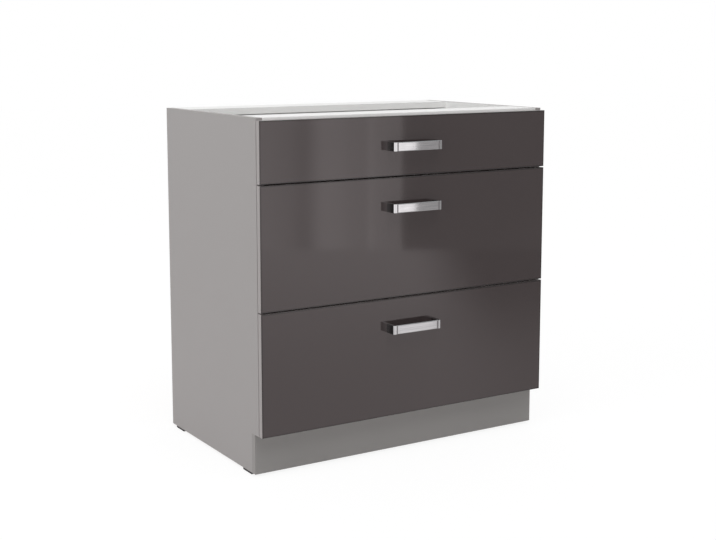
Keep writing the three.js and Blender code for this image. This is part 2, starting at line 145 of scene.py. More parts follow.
# %% A material and its nodes
class Finish:
    """The nodes of one material, or of the owner that is given."""

    def __init__(self, name, owner=None):
        self.owner = owner or bpy.data.materials.new(name)
        self.owner.use_nodes = True
        self.tree = self.owner.node_tree
        self.tree.nodes.clear()
        if owner is None:
            self.place = self.node("ShaderNodeTexCoord", {}, {}, "Object")

    def node(self, kind, settings, sockets, output=0):
        """output is the one to go on with, or several of them in a tuple."""
        made = self.tree.nodes.new(kind)
        for name, value in settings.items():
            setattr(made, name, value)
        for name, value in sockets.items():
            if isinstance(value, Wire):
                self.tree.links.new(value.socket, made.inputs[name])
            else:
                made.inputs[name].default_value = value
        if isinstance(output, tuple):
            return [Wire(self, made.outputs[name]) for name in output]
        return Wire(self, made.outputs[output]) if made.outputs else None

    def axes(self):
        """X, Y and Z of the point, in metres."""
        return self.node("ShaderNodeSeparateXYZ", {}, {0: self.place}, ("X", "Y", "Z"))

    def stretched(self, x, y, z):
        """The place with each axis scaled, for patterns that run one way."""
        scale = {0: self.place, 1: (x, y, z)}
        return self.node("ShaderNodeVectorMath", {"operation": "MULTIPLY"}, scale)

    def noise(self, scale, detail=2.0, roughness=0.5, place=None):
        sockets = {"Vector": place or self.place, "Scale": scale, "Detail": detail,
                   "Roughness": roughness}
        return self.node("ShaderNodeTexNoise", {}, sockets)

    def cells(self, scale):
        """A patchwork of cells, each of its own grey."""
        sockets = {"Vector": self.place, "Scale": scale}
        colour = self.node("ShaderNodeTexVoronoi", {"feature": "F1"}, sockets, "Color")
        return self.node("ShaderNodeRGBToBW", {}, {0: colour})

    def mix(self, share, first, second):
        """first where share is 0, second where it is 1, both colours."""
        settings = {"data_type": "RGBA"}
        sockets = {0: share, 6: first, 7: second}
        return self.node("ShaderNodeMix", settings, sockets, 2)

    def varied(self, tone, colour, spread):
        """A colour that gets darker and lighter by spread as tone goes from 0 to 1."""
        return self.mix(tone, shade(colour, 1 - spread), shade(colour, 1 + spread))

    def bump(self, height, distance, strength):
        sockets = {"Height": height, "Distance": distance, "Strength": strength}
        return self.node("ShaderNodeBump", {}, sockets)

    def surface(self, **sockets):
        """Ends the material in a Principled BSDF with these sockets."""
        names = {name.replace("_", " "): value for name, value in sockets.items()}
        return self.end(self.node("ShaderNodeBsdfPrincipled", {}, names))

    def end(self, shader, output="ShaderNodeOutputMaterial"):
        self.node(output, {}, {"Surface": shader})
        return self.owner


def srgb(red, green, blue):
    """A colour as a screen shows it (0 to 255), made linear for the shader."""
    def linear(value):
        value /= 255
        return value / 12.92 if value <= 0.04045 else ((value + 0.055) / 1.055) ** 2.4
    return (linear(red), linear(green), linear(blue), 1.0)


def shade(colour, factor):
    """A colour made darker or lighter, but never more than white."""
    return tuple(min(value * factor, 1.0) for value in colour[:3]) + (1.0,)


# %% [markdown]
# ## Chipboard, melamine and edging
#
# The carcass is chipboard with a thin melamine face on both sides. The edges that show carry
# a glued strip, and the ones that nobody sees are left as raw chips. One finish can tell
# these apart by where a point lies: on a face, the coordinate across the board is at one of
# its two ends, and anywhere else the point is on an edge. So each board gets the same
# recipe with its own box. Melamine itself is printed paper in resin: a very fine speckle, a
# faint cloudiness from the press and a slight texture that breaks up highlights.

# %% The finish of a melamine board
X, Y, Z = 0, 1, 2
LOW, HIGH = 0, 1                      # the two ends of a box along an axis
EDGING = 0.8 * MM                     # how thick the glued edge strip is
GLUE_LINE = 0.25 * MM                 # half the width of the line where strip meets face
SKIN = 0.05 * MM                      # closer than this to a face is on the face


def chip_core(finish):
    """Raw chipboard: light and dark chips pressed flat, in a paler dust."""
    chips = finish.cells(420.0)
    dust = finish.noise(1500.0, 3.0)
    tone = chips * 0.7 + dust * 0.5
    return finish.mix(tone, srgb(118, 88, 56), srgb(206, 176, 134)), tone


def melamine_board(node, thin, face, band, raw, inner=None):
    """thin is the axis across the board; raw lists its unbanded edges as (axis, end). inner,
    where a board's faces differ, is the end at which the other face lies and its colour."""
    finish = Finish(node)
    low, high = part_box(node)
    place = finish.axes()
    middle = (low[thin] + high[thin]) / 2
    half = (high[thin] - low[thin]) / 2
    on_edge = (place[thin] - middle).size() < half - SKIN

    speckle = finish.noise(2600.0, 1.0)
    cloud = finish.noise(5.0, 3.0)
    tone = (speckle - 0.5) * 0.16 + (cloud - 0.5) * 0.06 + 0.5
    paper = finish.varied(tone, face, 0.10)
    if inner:
        end, other = inner
        inside = (place[thin] < middle) if end == LOW else (place[thin] > middle)
        paper = finish.mix(inside, paper, finish.varied(tone, other, 0.06))
    colour = finish.mix(on_edge, paper, finish.varied(tone, band, 0.07))
    roughness = speckle * 0.08 + cloud * 0.06 + 0.42

    seam = None
    for axis in range(3):
        if axis == thin:
            continue
        for end, limit in enumerate((low[axis], high[axis])):
            if (axis, end) in raw:
                continue
            beside = ((place[axis] - limit).size() - EDGING).size()
            line = beside.ramp(0.0, GLUE_LINE, 1.0, 0.0)
            seam = line if seam is None else seam.most(line)
    height = speckle * 0.5
    if seam is not None:
        glue = seam * (1 - on_edge)
        colour = finish.mix(glue * 0.35, colour, shade(face, 0.6))
        height = height - glue

    if raw:
        chips, grain = chip_core(finish)
        bare = None
        for axis, end in raw:
            limit = (low, high)[end][axis]
            here = (place[axis] - limit).size() < SKIN
            bare = here if bare is None else bare.most(here)
        bare = bare * on_edge
        colour = finish.mix(bare, colour, chips)
        roughness = roughness + bare * 0.35
        height = height + bare * grain * 6.0
    normal = finish.bump(height, 0.02 * MM, 0.6)
    return finish.surface(Base_Color=colour, Roughness=roughness, Normal=normal)


def dress(node, material):
    """Puts a material on a CAD solid."""
    solid = NODES[node]
    solid.data.materials.clear()
    solid.data.materials.append(material)


# %% [markdown]
# The sides are light grey outside and white inside. Their front edge is banded, and the rear
# and lower edges, which stand against the wall and the floor, stay raw. The rails, the bottom
# and the drawer boards are white. The plinth has the sides' grey print, painted darker for the
# shade that it stands in under the fronts.

# %% Dress the boards
SIDE_GREY = srgb(160, 157, 156)
EDGE_GREY = srgb(160, 156, 155)
# painted shade: the sides' grey print made darker for the shade the plinth stands in under the
# fronts
PLINTH_SHADED_GREY = srgb(146, 144, 142)
BOARD_WHITE = srgb(241, 241, 240)

for side, hand in HANDS:
    node = f"side_{side}"
    raw = ((Y, HIGH), (Z, LOW))
    inner = (LOW if hand > 0 else HIGH, BOARD_WHITE)
    dress(node, melamine_board(node, X, SIDE_GREY, EDGE_GREY, raw, inner))

for node in ("bottom_panel", "top_rail_front", "top_rail_rear"):
    raw = ((X, LOW), (X, HIGH), (Y, HIGH))
    dress(node, melamine_board(node, Z, BOARD_WHITE, BOARD_WHITE, raw))

plinth = melamine_board("plinth_board", Y, PLINTH_SHADED_GREY, PLINTH_SHADED_GREY, ((Z, HIGH),))
dress("plinth_board", plinth)

for drawer in DRAWERS:
    for part, thin, raw in (
        ("drawer_bottom", Z, ((X, LOW), (X, HIGH), (Y, HIGH))),
        ("drawer_back", Y, ((X, LOW), (X, HIGH), (Z, LOW))),
    ):
        node = f"{drawer}_{part}"
        dress(node, melamine_board(node, thin, BOARD_WHITE, BOARD_WHITE, raw))
print("boards dressed:", 2 + 3 + 1 + 2 * len(DRAWERS))

# %% [markdown]
# The back is a 3 mm hardboard: lacquered white on the side that shows inside the cabinet,
# raw brown fibres on the side that faces the wall. The fibres lie in flecks a few millimetres
# across, and the raw side has the fine mesh print of the screen that it was pressed on.

# %% Dress the back
SCREEN_PRINT = 2100.0                 # radians a metre, a mesh of 3 mm


def hardboard_back():
    finish = Finish("hardboard_back")
    low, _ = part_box("back_panel")
    x, y, z = finish.axes()
    inside = y < low.y + SKIN
    fibre = finish.noise(900.0, 4.0, 0.7, finish.stretched(1.0, 1.0, 0.35))
    cloud = finish.noise(7.0, 3.0)
    mesh = (x * SCREEN_PRINT).sine() * (z * SCREEN_PRINT).sine()
    fleck = finish.noise(170.0, 3.0, 0.65, finish.stretched(1.0, 1.0, 0.6))
    tone = fibre * 0.5 + fleck * 0.6 + cloud * 0.2 - 0.15
    brown = finish.mix(tone, srgb(106, 74, 46), srgb(200, 160, 116))
    white = finish.mix(cloud, srgb(226, 226, 224), srgb(240, 240, 239))
    colour = finish.mix(inside, brown, white)
    roughness = 0.86 - inside * 0.42 + (fibre - 0.5) * 0.1
    height = (fibre + mesh * 0.25) * (1 - inside)
    normal = finish.bump(height, 0.08 * MM, 0.7)
    return finish.surface(Base_Color=colour, Roughness=roughness, Normal=normal)


dress("back_panel", hardboard_back())
print("back dressed:", NODES["back_panel"].data.materials[0].name)

# %% [markdown]
# ## High-gloss fronts
#
# The fronts are fibreboard under a warm dark grey foil that wraps over the eased edge, with
# light grey edging. The gloss does most of the work: a smooth dielectric mirrors about a
# twentieth of what stands in front of it, so the finish only needs a dark base colour, a low
# roughness and the faint waviness that pressed foil always has.

# %% The gloss front
FRONT_DARK = srgb(67, 59, 59)
EASED_EDGE = 1.25 * MM                # the foil wraps this far round the edge
FRONT_BORDER_DARKEST = 1.5 * MM                # the face is darkest up to this far from its edges
FRONT_BORDER_END = 4.5 * MM                 # and has its full tone from here on


def gloss_front(drawer):
    finish = Finish(f"{drawer}_gloss_front")
    low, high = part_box(f"{drawer}_front")
    x, y, z = finish.axes()
    foil = y < low.y + EASED_EDGE
    cloud = finish.noise(3.0, 3.0)
    fine = finish.noise(1400.0, 2.0)
    wave = finish.noise(26.0, 2.0)
    to_side = (x.size() - high.x).size()
    to_rim = ((z - (low.z + high.z) / 2).size() - (high.z - low.z) / 2).size()
    # The face is darker in a band along its side, top and bottom edges: darkest up to 1.5 mm
    # from them, with its full tone from 4.5 mm on.
    border_dark = 1 - to_side.least(to_rim).ramp(FRONT_BORDER_DARKEST, FRONT_BORDER_END)
    dark = finish.varied(cloud, FRONT_DARK, 0.06)
    dark = finish.mix(border_dark * 0.8, dark, shade(FRONT_DARK, 0.3))
    colour = finish.mix(foil, finish.varied(fine, EDGE_GREY, 0.05), dark)
    roughness = 0.42 - foil * 0.38 + fine * 0.02 + cloud * 0.015
    height = wave * foil + fine * (1 - foil) * 0.4
    normal = finish.bump(height, 0.03 * MM, 0.5)
    return finish.surface(Base_Color=colour, Roughness=roughness, Normal=normal, IOR=1.5)


for drawer in DRAWERS:
    dress(f"{drawer}_front", gloss_front(drawer))
print("fronts dressed:", len(DRAWERS))

# %% [markdown]
# ## Metals and plastics
#
# The runner rails and the drawer's steel sides are folded sheet with a baked epoxy coat,
# which has a soft orange-peel surface. The brackets and screws are zinc plated, with a faint
# patchy sheen. The rollers are moulded nylon and the glides matt black plastic.

# %% Coated steel, zinc, nylon and plastic
def coated_steel():
    finish = Finish("coated_steel")
    peel = finish.noise(700.0, 2.0)
    cloud = finish.noise(9.0, 2.0)
    tone = peel * 0.3 + cloud * 0.7
    colour = finish.mix(tone, srgb(218, 218, 217), srgb(230, 230, 229))
    roughness = cloud * 0.08 + peel * 0.05 + 0.3
    normal = finish.bump(peel, 0.03 * MM, 0.5)
    return finish.surface(Base_Color=colour, Roughness=roughness, Normal=normal)


def zinc_plate():
    finish = Finish("zinc_plate")
    patches = finish.cells(260.0)
    fine = finish.noise(2200.0, 2.0)
    colour = finish.mix(patches, srgb(176, 180, 184), srgb(206, 208, 210))
    roughness = patches * 0.12 + fine * 0.08 + 0.24
    normal = finish.bump(fine, 0.01 * MM, 0.4)
    return finish.surface(Base_Color=colour, Metallic=1.0, Roughness=roughness, Normal=normal)


def moulded(name, dark, pale, rough, grain_scale):
    finish = Finish(name)
    grain = finish.noise(grain_scale, 3.0)
    cloud = finish.noise(40.0, 2.0)
    colour = finish.mix(cloud * 0.6 + grain * 0.4, dark, pale)
    roughness = grain * 0.14 + rough
    normal = finish.bump(grain, 0.03 * MM, 0.6)
    return finish.surface(Base_Color=colour, Roughness=roughness, Normal=normal)


COATED = coated_steel()
ZINC = zinc_plate()
NYLON = moulded("nylon", srgb(222, 218, 208), srgb(240, 238, 230), 0.38, 900.0)
BLACK = moulded("black_plastic", srgb(12, 12, 13), srgb(26, 26, 27), 0.6, 1600.0)
SOFT_CLEAR = moulded("soft_buffer", srgb(196, 198, 198), srgb(216, 218, 218), 0.3, 600.0)

for drawer in DRAWERS:
    for side, _ in HANDS:
        dress(f"{drawer}_steel_side_{side}", COATED)
        dress(f"{drawer}_rail_{side}", COATED)
        dress(f"{drawer}_bracket_{side}", ZINC)
        dress(f"{drawer}_roller_front_{side}", NYLON)
        dress(f"{drawer}_roller_rear_{side}", NYLON)
for side, _ in HANDS:
    for end in ("front", "rear"):
        dress(f"glide_{end}_{side}", BLACK)
print("runner parts dressed:", 2 * 5 * len(DRAWERS), "glides:", 4)

# %% [markdown]
# A handle is a polished bow with a satin plate let into its face. Polishing leaves hardly a
# mark, only a slight cloud in the gloss. The wheel doesn't reach the floor of the recess, which
# keeps its matt cast skin, and its colour there is also painted darker for the shade in the
# recess. The outer sides of the legs are a little rougher and carry a painted reflection of the
# dark front, painted darker towards the bar. The satin plate is brushed along its length, which
# is a fine pattern drawn out a hundredfold along X: it streaks the colour and the roughness,
# and a little bump turns the highlights across the brush. A coarser pattern, drawn out
# thirtyfold, gives the broader streaks that can be made out from a few steps away.

# %% Polished and satin metal
RECESS_END = 8 * MM                   # the polished end beside the recess
RECESS_DEPTH = 1.2 * MM
LEG_SIDE_FADE = (0.2 * MM, 1.2 * MM)       # inside a leg's outer side, where its painted dark fades in
LEG_DARK_START = 2 * MM                   # from the bar's face to where a leg's painted dark is strongest


def polished_metal():
    finish = Finish("polished_metal")
    low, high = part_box("top_handle")
    x, y, _ = finish.axes()
    in_recess = (y - low.y - RECESS_DEPTH).size() < SKIN
    # The recess floor keeps a matt cast skin, and its colour is painted darker for the shade in
    # the recess.
    cast_skin_and_shade = in_recess * (x.size() < high.x - RECESS_END + SKIN)
    outside = x.size().ramp(high.x - LEG_SIDE_FADE[1], high.x - LEG_SIDE_FADE[0])
    # Painted reflection: the legs' outer sides are painted nearly black near the bar, for the
    # dark front that they mirror, and are a little rougher.
    dull_and_painted_reflection = outside * y.ramp(low.y + LEG_DARK_START, high.y, 0.75, 0.05)
    cloud = finish.noise(60.0, 3.0)
    fine = finish.noise(2500.0, 2.0)
    colour = finish.mix(cloud, srgb(169, 172, 173), srgb(181, 184, 185))
    colour = finish.mix(dull_and_painted_reflection, colour, srgb(20, 20, 21))
    colour = finish.mix(cast_skin_and_shade, colour, srgb(128, 128, 129))
    roughness = cloud * 0.05 + fine * 0.03 + 0.05 + cast_skin_and_shade * 0.5 + dull_and_painted_reflection * 0.2
    normal = finish.bump(cloud, 0.02 * MM, 0.3)
    return finish.surface(Base_Color=colour, Metallic=1.0, Roughness=roughness, Normal=normal)


def satin_metal():
    finish = Finish("satin_metal")
    brush = finish.noise(1800.0, 3.0, 0.6, finish.stretched(0.01, 1.0, 1.0))
    cloud = finish.noise(30.0, 2.0)
    streak = finish.noise(420.0, 2.0, 0.6, finish.stretched(0.03, 1.0, 1.0))
    colour = finish.mix(brush * 0.35 + streak * 0.65, srgb(142, 145, 146), srgb(200, 203, 204))
    roughness = brush * 0.04 + cloud * 0.02 + 0.05
    normal = finish.bump(brush, 0.02 * MM, 0.5)
    return finish.surface(Base_Color=colour, Metallic=1.0, Roughness=roughness, Normal=normal)


POLISHED = polished_metal()
SATIN = satin_metal()
for drawer in DRAWERS:
    dress(f"{drawer}_handle", POLISHED)
    dress(f"{drawer}_handle_insert", SATIN)
print("materials:", len(bpy.data.materials))

# %% [markdown]
# ## From a mesh to a piece
#
# The fittings below are modelled with bmesh operators, each at its real place. A piece ends
# the same way every time: doubled points merged, faces turned outwards, shading smooth over
# the rounds but not over the corners, and the piece tied to the body that carries it.

# %% End a bmesh as a piece
WELD = 0.001 * MM                     # points nearer than this are one
CORNER_ANGLE = math.radians(35)       # a sharper turn than this stays a corner


def object_from(shape, name):
    """Ends a bmesh as an object in the scene."""
    mesh = bpy.data.meshes.new(name)
    shape.to_mesh(mesh)
    shape.free()
    made = bpy.data.objects.new(name, mesh)
    bpy.context.scene.collection.objects.link(made)
    return made


def end_piece(shape, name, body, material):
    """Ends a bmesh as a fitting that rides on a body."""
    bmesh.ops.remove_doubles(shape, verts=shape.verts, dist=WELD)
    bmesh.ops.recalc_face_normals(shape, faces=shape.faces)
    piece = object_from(shape, name)
    piece.data.shade_smooth()
    piece.data.set_sharp_from_angle(angle=CORNER_ANGLE)
    piece.data.materials.append(material)
    flat = piece.modifiers.new("keep_faces_flat", "WEIGHTED_NORMAL")
    flat.keep_sharp = True
    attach(piece, body)
    return piece


def ring_of(shape, points):
    """A closed line through a few corners, and the face in it."""
    corners = [shape.verts.new(point) for point in points]
    return shape.faces.new(corners)


def push(shape, face, move):
    """Extrudes a face into a solid."""
    grown = bmesh.ops.extrude_face_region(shape, geom=[face])["geom"]
    moved = [part for part in grown if isinstance(part, bmesh.types.BMVert)]
    bmesh.ops.translate(shape, verts=moved, vec=move)


def ease(shape, edges, radius, segments):
    """Rounds edges off."""
    bmesh.ops.bevel(shape, geom=edges, offset=radius, segments=segments, profile=0.5,
                    affect="EDGES", material=-1)


# %% [markdown]
# ## Handles
#
# The handle is a cast bow: two legs and a flat bar, with a shallow recess along its face. Its
# outline seen from above has square corners at first. It is pushed up to the bow's height,
# the upright corner edges get the large rounds, and then both rims are eased. Rounding in
# that order lets the small rounds run on around the large ones, as on a polished casting.

# %% Model a handle
HANDLE_LEG = 8 * MM
HANDLE_BAR = 5 * MM
HANDLE_CORNER = 5 * MM                # outer round, seen from above
HANDLE_INNER = 4 * MM
RIM = 0.8 * MM
PLATE_RADIUS = 1458 * MM              # the plate is bent this little, its middle foremost
PLATE_STRIPS = 36                     # it is cut into these, so that it can bend
PLATE_CORNER = 0.6 * MM
PLATE_RIM = 0.4 * MM


def upright(edge):
    one, other = (corner.co for corner in edge.verts)
    return abs(one.z - other.z) > 1 * MM


def handle_bow(drawer):
    low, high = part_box(f"{drawer}_handle")
    end, foot, face = high.x, high.y, low.y
    inside, recess = end - HANDLE_LEG, end - RECESS_END
    back, floor_y = face + HANDLE_BAR, face + RECESS_DEPTH
    half = [(recess, floor_y), (recess, face), (end, face), (end, foot), (inside, foot),
            (inside, back)]
    outline = half + [(-x, y) for x, y in reversed(half)]

    shape = bmesh.new()
    base = ring_of(shape, [(x, y, low.z) for x, y in outline])
    push(shape, base, (0, 0, high.z - low.z))
    rounds = ((end, face, HANDLE_CORNER), (inside, back, HANDLE_INNER))
    for corner_x, corner_y, radius in rounds:
        edges = [edge for edge in shape.edges if upright(edge)
                 and abs(abs(edge.verts[0].co.x) - corner_x) < SKIN
                 and abs(edge.verts[0].co.y - corner_y) < SKIN]
        ease(shape, edges, radius, segments=8)
    rims = [edge for edge in shape.edges if not upright(edge)
            and min(corner.co.y for corner in edge.verts) < foot - SKIN]
    ease(shape, rims, RIM, segments=3)
    piece = end_piece(shape, f"{drawer}_handle_bow", f"{drawer}_drawer",
                      POLISHED)
    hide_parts(f"{drawer}_handle")
    return piece


def handle_plate(drawer):
    """The satin plate in the recess, slightly bent, with a soft edge around its face."""
    low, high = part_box(f"{drawer}_handle_insert")
    shape = bmesh.new()
    base = ring_of(shape, [(low.x, high.y, low.z), (high.x, high.y, low.z),
                           (high.x, high.y, high.z), (low.x, high.y, high.z)])
    push(shape, base, (0, low.y - high.y, 0))
    corners = [edge for edge in shape.edges
               if abs(edge.verts[0].co.y - edge.verts[1].co.y) > SKIN]
    ease(shape, corners, PLATE_CORNER, segments=4)
    rim = [edge for edge in shape.edges
           if max(corner.co.y for corner in edge.verts) < low.y + SKIN]
    ease(shape, rim, PLATE_RIM, segments=3)
    for strip in range(1, PLATE_STRIPS):
        cut = low.x + (high.x - low.x) * strip / PLATE_STRIPS
        whole = shape.verts[:] + shape.edges[:] + shape.faces[:]
        bmesh.ops.bisect_plane(shape, geom=whole, plane_co=(cut, 0, 0), plane_no=(1, 0, 0))
    for corner in shape.verts:
        if corner.co.y < high.y - SKIN:
            corner.co.y += corner.co.x ** 2 / (2 * PLATE_RADIUS)
    piece = end_piece(shape, f"{drawer}_handle_plate", f"{drawer}_drawer",
                      SATIN)
    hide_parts(f"{drawer}_handle_insert")
    return piece


for drawer in DRAWERS:
    bow = handle_bow(drawer)
    plate = handle_plate(drawer)
    print(bow.name, len(bow.data.polygons), "faces,", plate.name, len(plate.data.polygons))

# %% [markdown]
# ## Rollers
#
# A roller is a turned shape: its half section, spun once around the pin. Forty steps keep the
# tread round, and the chamfers and the dish on its outer face come straight from the section.

# %% Spin the rollers
ROLLER_RADIUS = 12 * MM
ROLLER_BORE = 3.3 * MM
ROLLER_HUB = 5.5 * MM
ROLLER_RIM = 9.4 * MM
ROLLER_DISH = 1.2 * MM
TREAD_CHAMFER = 0.8 * MM
DISH_SLOPE = 0.4 * MM                 # how far the dish's walls lean
ROLLER_STEPS = 40


def spin_line(shape, points, axis, centre, steps):
    """Spins the line through these points a full turn."""
    corners = [shape.verts.new(point) for point in points]
    lines = [shape.edges.new(pair) for pair in zip(corners, corners[1:])]
    bmesh.ops.spin(shape, geom=corners + lines, axis=axis, cent=centre,
                   angle=math.tau, steps=steps, use_merge=True)


def roller(drawer, end, side, hand):
    node = f"{drawer}_roller_{end}_{side}"
    low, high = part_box(node)
    centre = (low + high) / 2
    facing = -hand if end == "front" else hand      # where the pin's head and the dish are
    half = (high.x - low.x) / 2
    flat, dished = centre.x - facing * half, centre.x + facing * half
    step = facing * TREAD_CHAMFER
    dish_floor = dished - facing * ROLLER_DISH
    section = [(ROLLER_BORE, flat), (ROLLER_RADIUS - TREAD_CHAMFER, flat),
               (ROLLER_RADIUS, flat + step), (ROLLER_RADIUS, dished - step),
               (ROLLER_RADIUS - TREAD_CHAMFER, dished), (ROLLER_RIM, dished),
               (ROLLER_RIM - DISH_SLOPE, dish_floor), (ROLLER_HUB + DISH_SLOPE, dish_floor),
               (ROLLER_HUB, dished), (ROLLER_BORE, dished), (ROLLER_BORE, flat)]
    points = [(x, centre.y, centre.z + radius) for radius, x in section]
    shape = bmesh.new()
    spin_line(shape, points, (1, 0, 0), centre, ROLLER_STEPS)
    piece = end_piece(shape, f"{drawer}_{end}_roller_{side}", f"{drawer}_{end}_wheel_{side}",
                      NYLON)
    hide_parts(node)


for drawer in DRAWERS:
    for side, hand in HANDS:
        for end in ("front", "rear"):
            roller(drawer, end, side, hand)
print("rollers:", 4 * len(DRAWERS))

# %% [markdown]
# ## Screws
#
# Every screw has the same pan head with a cross recess, in two sizes. The head is spun, and
# the cross is cut by a Boolean with two crossed bars, which is quicker and cleaner than
# building the recess from faces. That is done once. The result is stamped wherever a screw
# goes, turned so that it points into the board or the sheet.

# %% Make one screw head
HEAD_RADIUS = 4 * MM
HEAD_HEIGHT = 2 * MM
DOME_STEPS = 5
DOME_FULLNESS = 0.7                   # 1 is a quarter of an ellipse, less is fuller
HEAD_STEPS = 24


def crossed_disc(name, radius, height, dome, cross_length, cross_width, cross_depth):
    """A disc or domed head standing on Z = 0, with a cross cut into its top."""
    shape = bmesh.new()
    rise = height - dome
    section = [(0.0, 0.0), (radius, 0.0), (radius, rise)]
    for step in range(1, DOME_STEPS + 1):
        turn = step / DOME_STEPS * math.pi / 2
        section.append((
            radius * math.cos(turn) ** DOME_FULLNESS if step < DOME_STEPS else 0.0,
            rise + dome * math.sin(turn)))
    points = [(across, 0, up) for across, up in section]
    spin_line(shape, points, (0, 0, 1), (0, 0, 0), HEAD_STEPS)
    bmesh.ops.remove_doubles(shape, verts=shape.verts, dist=WELD)
    bmesh.ops.recalc_face_normals(shape, faces=shape.faces)
    head = object_from(shape, name)

    cross = bmesh.new()
    for size in ((cross_length, cross_width), (cross_width, cross_length)):
        bar = bmesh.ops.create_cube(cross, size=1.0)["verts"]
        bmesh.ops.scale(cross, vec=(*size, 2 * cross_depth), verts=bar)
        bmesh.ops.translate(cross, vec=(0, 0, height), verts=bar)
    bmesh.ops.recalc_face_normals(cross, faces=cross.faces)
    cutter = object_from(cross, f"{name}_cutter")
    cut = head.modifiers.new("cross", "BOOLEAN")
    cut.operation = "DIFFERENCE"
    cut.object = cutter
    cut.solver = "EXACT"
    cut.use_self = True
    bpy.context.view_layer.update()
    graph = bpy.context.evaluated_depsgraph_get()
    mesh = bpy.data.meshes.new_from_object(head.evaluated_get(graph))
    for helper in (head, cutter):
        bpy.data.objects.remove(helper)
    return mesh


SCREW = crossed_disc("pan_head", HEAD_RADIUS, HEAD_HEIGHT, dome=1.2 * MM,
                     cross_length=4.4 * MM, cross_width=1.0 * MM, cross_depth=1.2 * MM)
print("screw head:", len(SCREW.polygons), "faces")


def stamp(shape, mesh, place, towards, turn):
    """Adds a copy of mesh at place, its top facing 'towards' and its cross turned."""
    copy = mesh.copy()
    facing = Vector(towards).to_track_quat("Z", "Y").to_matrix().to_4x4()
    copy.transform(Matrix.Translation(place) @ facing @ Matrix.Rotation(turn, 4, "Z"))
    shape.from_mesh(copy)
    bpy.data.meshes.remove(copy)


# %% [markdown]
# Four screws hold each cabinet rail, one in every slot. Two small ones hold each bracket to
# its front, one joins the bracket to the steel side, two go through the tab behind the back
# board, and two longer ones come through the front into the handle's legs. The crosses of
# neighbours stand at different angles, because nobody lines up screws inside a cabinet.

# %% Place the screws
SLOT_PITCH = 96 * MM
SLOT_COUNT = 4
FIRST_SLOT = 63 * MM                  # from the rail's front end to its first slot
BRACKET_STEEL = 1.4 * MM
BRACKET_INSET = 9 * MM                # from a bracket's top and foot to its screws
SIDE_INSET = 10 * MM                  # from a bracket's rear edge to the screw in the side
TAB_MIDDLE = 7 * MM                   # from the steel side to the middle of its tab
TAB_INSET = 10 * MM                   # from the back board's top and foot to the tab's screws
SMALL_SCREW = SCREW.copy()
SMALL_SCREW.transform(Matrix.Scale(0.8, 4))


def rail_screws(drawer, side, hand):
    low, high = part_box(f"{drawer}_rail_{side}")
    web = hand * (INNER_X - STEEL)
    shape = bmesh.new()
    for index in range(SLOT_COUNT):
        place = (web, low.y + FIRST_SLOT + index * SLOT_PITCH, (low.z + high.z) / 2)
        stamp(shape, SCREW, place, (-hand, 0, 0), 0.5 + 1.1 * index)
    end_piece(shape, f"{drawer}_rail_screws_{side}", "carcass", ZINC)


def drawer_screws(drawer, side, hand):
    body = f"{drawer}_drawer"
    low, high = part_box(f"{drawer}_bracket_{side}")
    inner, outer = sorted((abs(low.x), abs(high.x)))
    sheet_y = low.y + BRACKET_STEEL
    shape = bmesh.new()
    for index, z in enumerate((low.z + BRACKET_INSET, high.z - BRACKET_INSET)):
        place = (hand * (inner + outer + BRACKET_STEEL) / 2, sheet_y, z)
        stamp(shape, SMALL_SCREW, place, (0, 1, 0), 0.3 + index)
    side_place = (hand * (inner + BRACKET_STEEL), high.y - SIDE_INSET, (low.z + high.z) / 2)
    stamp(shape, SMALL_SCREW, side_place, (hand, 0, 0), 0.9)
    end_piece(shape, f"{drawer}_bracket_screws_{side}", body, ZINC)

    steel_low, steel_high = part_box(f"{drawer}_steel_side_{side}")
    board_low, board_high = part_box(f"{drawer}_drawer_back")
    tab_x = hand * (min(abs(steel_low.x), abs(steel_high.x)) + TAB_MIDDLE)
    shape = bmesh.new()
    for index, z in enumerate((board_low.z + TAB_INSET, board_high.z - TAB_INSET)):
        stamp(shape, SMALL_SCREW, (tab_x, board_high.y + STEEL, z), (0, 1, 0), 1.2 * index)
    end_piece(shape, f"{drawer}_tab_screws_{side}", body, ZINC)


def handle_screws(drawer):
    low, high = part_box(f"{drawer}_handle")
    inside_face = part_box(f"{drawer}_front")[1].y
    shape = bmesh.new()
    for _, hand in HANDS:
        place = (hand * (high.x - HANDLE_LEG / 2), inside_face, (low.z + high.z) / 2)
        stamp(shape, SCREW, place, (0, 1, 0), 0.7 + hand)
    end_piece(shape, f"{drawer}_handle_screws", f"{drawer}_drawer", ZINC)


for drawer in DRAWERS:
    handle_screws(drawer)
    for side, hand in HANDS:
        rail_screws(drawer, side, hand)
        drawer_screws(drawer, side, hand)
print("screws:", len(DRAWERS) * (2 + 2 * (SLOT_COUNT + 3 + 2)))

# %% [markdown]
# ## Buffers, cam locks and nails
#
# Soft round buffers stick to the back of each front and take up its 1 mm stand-off from the
# sides. A cone with nearly equal radii is such a disc with its draft, in one call.

# %% Buffers
BUFFER_RADIUS = 4 * MM
BUFFER_DRAFT = 0.8                    # the rear face's radius as a share of the front one's
BUFFER_MARGIN = 22 * MM               # from a front's upper and lower edge
TO_REAR = Matrix.Rotation(math.radians(-90), 4, "X")      # turns a top towards the wall


def buffers(drawer):
    low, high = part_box(f"{drawer}_front")
    thickness = CARCASS_FRONT - high.y
    shape = bmesh.new()
    for _, hand in HANDS:
        for z in (low.z + BUFFER_MARGIN, high.z - BUFFER_MARGIN):
            middle = (hand * (INNER_X + OUTER_X) / 2, high.y + thickness / 2, z)
            bmesh.ops.create_cone(
                shape, cap_ends=True, segments=24, radius1=BUFFER_RADIUS,
                radius2=BUFFER_RADIUS * BUFFER_DRAFT, depth=thickness,
                matrix=Matrix.Translation(middle) @ TO_REAR)
    end_piece(shape, f"{drawer}_buffers", f"{drawer}_drawer", SOFT_CLEAR)


for drawer in DRAWERS:
    buffers(drawer)
print("buffers:", 4 * len(DRAWERS))

